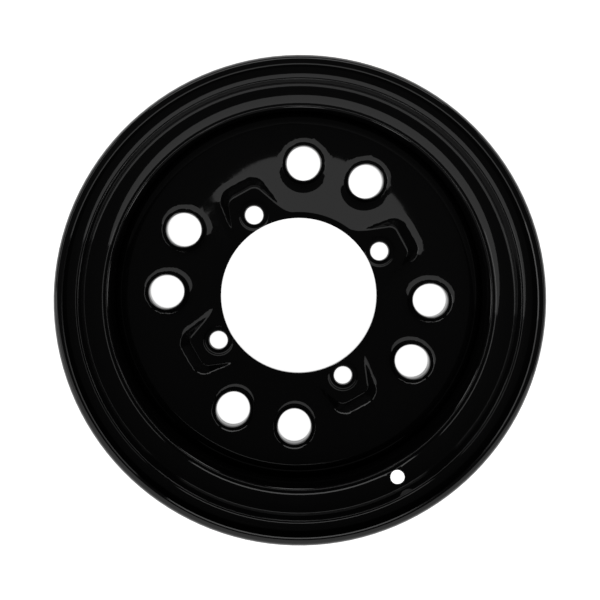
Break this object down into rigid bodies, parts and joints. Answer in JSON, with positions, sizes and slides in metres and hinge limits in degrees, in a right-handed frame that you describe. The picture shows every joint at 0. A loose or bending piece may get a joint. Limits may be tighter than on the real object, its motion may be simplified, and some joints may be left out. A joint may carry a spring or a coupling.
{
  "type": "steel wheel",
  "caption": "Drop-centre steel wheel: a rolled rim with curled lips and a pressed disc with hub bore, pocketed lug holes and rolled vent holes, in gloss black.",
  "frame": {"origin": "centre of the hub bore on the plane where the disc's pads meet the hub", "axes": "+Z along the axle towards the outer face of the wheel, +X through one lug hole, valve hole on the -Y side; the wheel lies on its back flange"},
  "size_m": [0.385, 0.385, 0.2034],
  "materials": {
    "rim": "gloss black paint",
    "disc": "gloss black paint",
    "weld_beads": "gloss black paint over weld"
  },
  "bodies": {
    "root": {"rim": "rim", "disc": "disc", "weld_beads": "weld_beads"}
  },
  "joints": []
}
